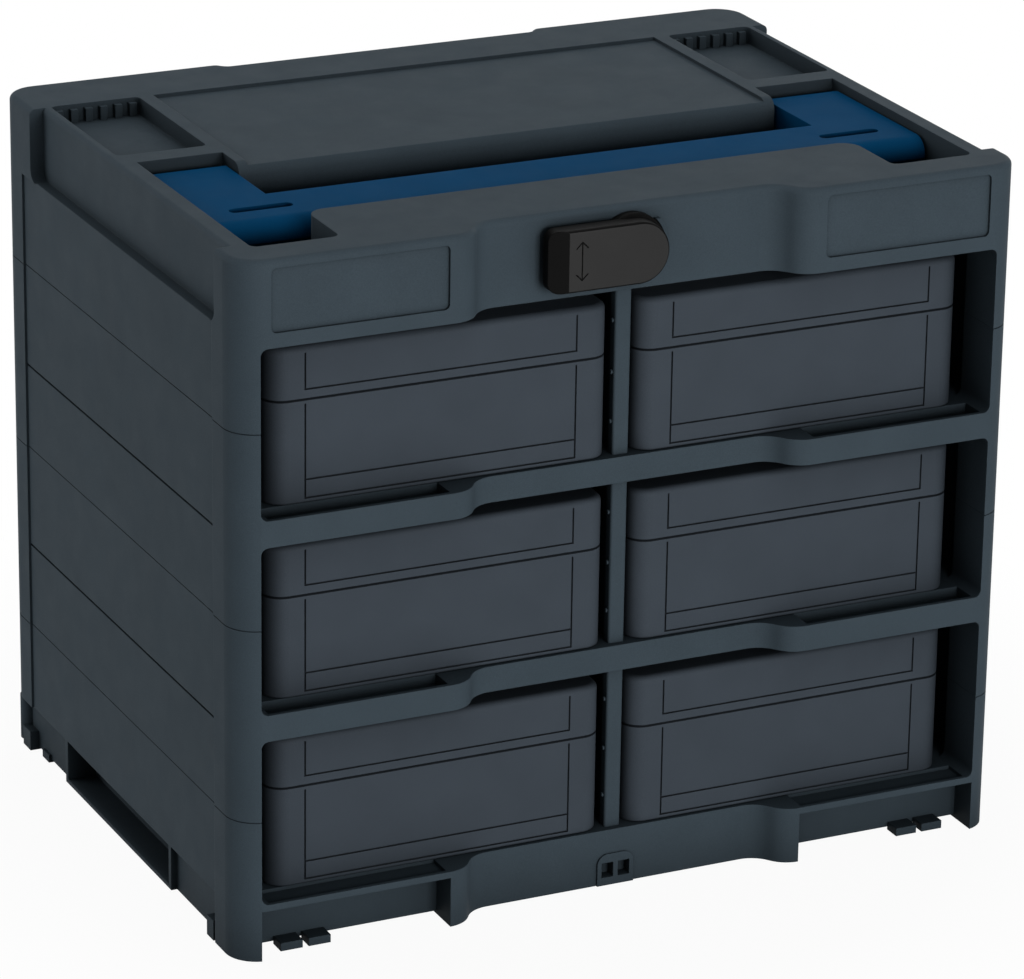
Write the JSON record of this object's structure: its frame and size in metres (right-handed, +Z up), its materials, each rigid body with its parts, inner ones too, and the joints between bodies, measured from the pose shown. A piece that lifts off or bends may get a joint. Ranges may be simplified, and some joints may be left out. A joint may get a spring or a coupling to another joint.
{
  "type": "stackable tool case",
  "caption": "Stackable open-front rack case that carries small lidded cases in rows on shelves, with a folding top handle and a rotary front latch.",
  "frame": {"origin": "middle of the footprint at the level the feet stand on", "axes": "+X to the right seen from the front, +Y from the open front to the back wall, +Z up"},
  "size_m": [0.396, 0.296, 0.337],
  "materials": {
    "body_plastic": "fine moulded texture, dark blue-grey",
    "case_plastic": "fine moulded texture, dark blue-grey",
    "handle_plastic": "fine satin, deep blue",
    "latch_plastic": "satin black",
    "steel": "plain zinc-plated steel"
  },
  "bodies": {
    "rack": {"base_frame": "body_plastic", "lower_frame": "body_plastic", "upper_frame": "body_plastic", "top_cover": "body_plastic", "bottom_divider": "body_plastic", "middle_divider": "body_plastic", "top_divider": "body_plastic", "handle_pin_left": "steel", "handle_pin_right": "steel", "frame_screws": "steel"},
    "handle": {"carry_handle": "handle_plastic"},
    "latch": {"latch_knob": "latch_plastic", "latch_spindle": "latch_plastic", "latch_washer": "latch_plastic", "latch_screw": "steel"},
    "bottom_left_case": {"bottom_left_tray": "case_plastic", "bottom_left_lid": "case_plastic", "bottom_left_hinge_pins": "steel"},
    "bottom_left_clip": {"bottom_left_latch_clip": "case_plastic"},
    "bottom_right_case": {"bottom_right_tray": "case_plastic", "bottom_right_lid": "case_plastic", "bottom_right_hinge_pins": "steel"},
    "bottom_right_clip": {"bottom_right_latch_clip": "case_plastic"},
    "middle_left_case": {"middle_left_tray": "case_plastic", "middle_left_lid": "case_plastic", "middle_left_hinge_pins": "steel"},
    "middle_left_clip": {"middle_left_latch_clip": "case_plastic"},
    "middle_right_case": {"middle_right_tray": "case_plastic", "middle_right_lid": "case_plastic", "middle_right_hinge_pins": "steel"},
    "middle_right_clip": {"middle_right_latch_clip": "case_plastic"},
    "top_left_case": {"top_left_tray": "case_plastic", "top_left_lid": "case_plastic", "top_left_hinge_pins": "steel"},
    "top_left_clip": {"top_left_latch_clip": "case_plastic"},
    "top_right_case": {"top_right_tray": "case_plastic", "top_right_lid": "case_plastic", "top_right_hinge_pins": "steel"},
    "top_right_clip": {"top_right_latch_clip": "case_plastic"}
  },
  "joints": [
    {"name": "handle_swing", "type": "hinge", "parent": "rack", "child": "handle", "pos_m": [0, 0, 0.325], "axis": [-1, 0, 0], "range_deg": [0, 90]},
    {"name": "latch_turn", "type": "hinge", "parent": "rack", "child": "latch", "pos_m": [0, -0.1345, 0.317], "axis": [0, 1, 0], "range_deg": [-90, 90]},
    {"name": "bottom_left_slide", "type": "slide", "parent": "rack", "child": "bottom_left_case", "axis": [0, -1, 0], "range_m": [0, 0.24]},
    {"name": "bottom_left_clip_swing", "type": "hinge", "parent": "bottom_left_case", "child": "bottom_left_clip", "pos_m": [-0.1747, 0, 0.0693], "axis": [0, -1, 0], "range_deg": [0, 80]},
    {"name": "bottom_right_slide", "type": "slide", "parent": "rack", "child": "bottom_right_case", "axis": [0, -1, 0], "range_m": [0, 0.24]},
    {"name": "bottom_right_clip_swing", "type": "hinge", "parent": "bottom_right_case", "child": "bottom_right_clip", "pos_m": [0.1747, 0, 0.0693], "axis": [0, 1, 0], "range_deg": [0, 80]},
    {"name": "middle_left_slide", "type": "slide", "parent": "rack", "child": "middle_left_case", "axis": [0, -1, 0], "range_m": [0, 0.24]},
    {"name": "middle_left_clip_swing", "type": "hinge", "parent": "middle_left_case", "child": "middle_left_clip", "pos_m": [-0.1747, 0, 0.1629], "axis": [0, -1, 0], "range_deg": [0, 80]},
    {"name": "middle_right_slide", "type": "slide", "parent": "rack", "child": "middle_right_case", "axis": [0, -1, 0], "range_m": [0, 0.24]},
    {"name": "middle_right_clip_swing", "type": "hinge", "parent": "middle_right_case", "child": "middle_right_clip", "pos_m": [0.1747, 0, 0.1629], "axis": [0, 1, 0], "range_deg": [0, 80]},
    {"name": "top_left_slide", "type": "slide", "parent": "rack", "child": "top_left_case", "axis": [0, -1, 0], "range_m": [0, 0.24]},
    {"name": "top_left_clip_swing", "type": "hinge", "parent": "top_left_case", "child": "top_left_clip", "pos_m": [-0.1747, 0, 0.2565], "axis": [0, -1, 0], "range_deg": [0, 80]},
    {"name": "top_right_slide", "type": "slide", "parent": "rack", "child": "top_right_case", "axis": [0, -1, 0], "range_m": [0, 0.24]},
    {"name": "top_right_clip_swing", "type": "hinge", "parent": "top_right_case", "child": "top_right_clip", "pos_m": [0.1747, 0, 0.2565], "axis": [0, 1, 0], "range_deg": [0, 80]}
  ]
}
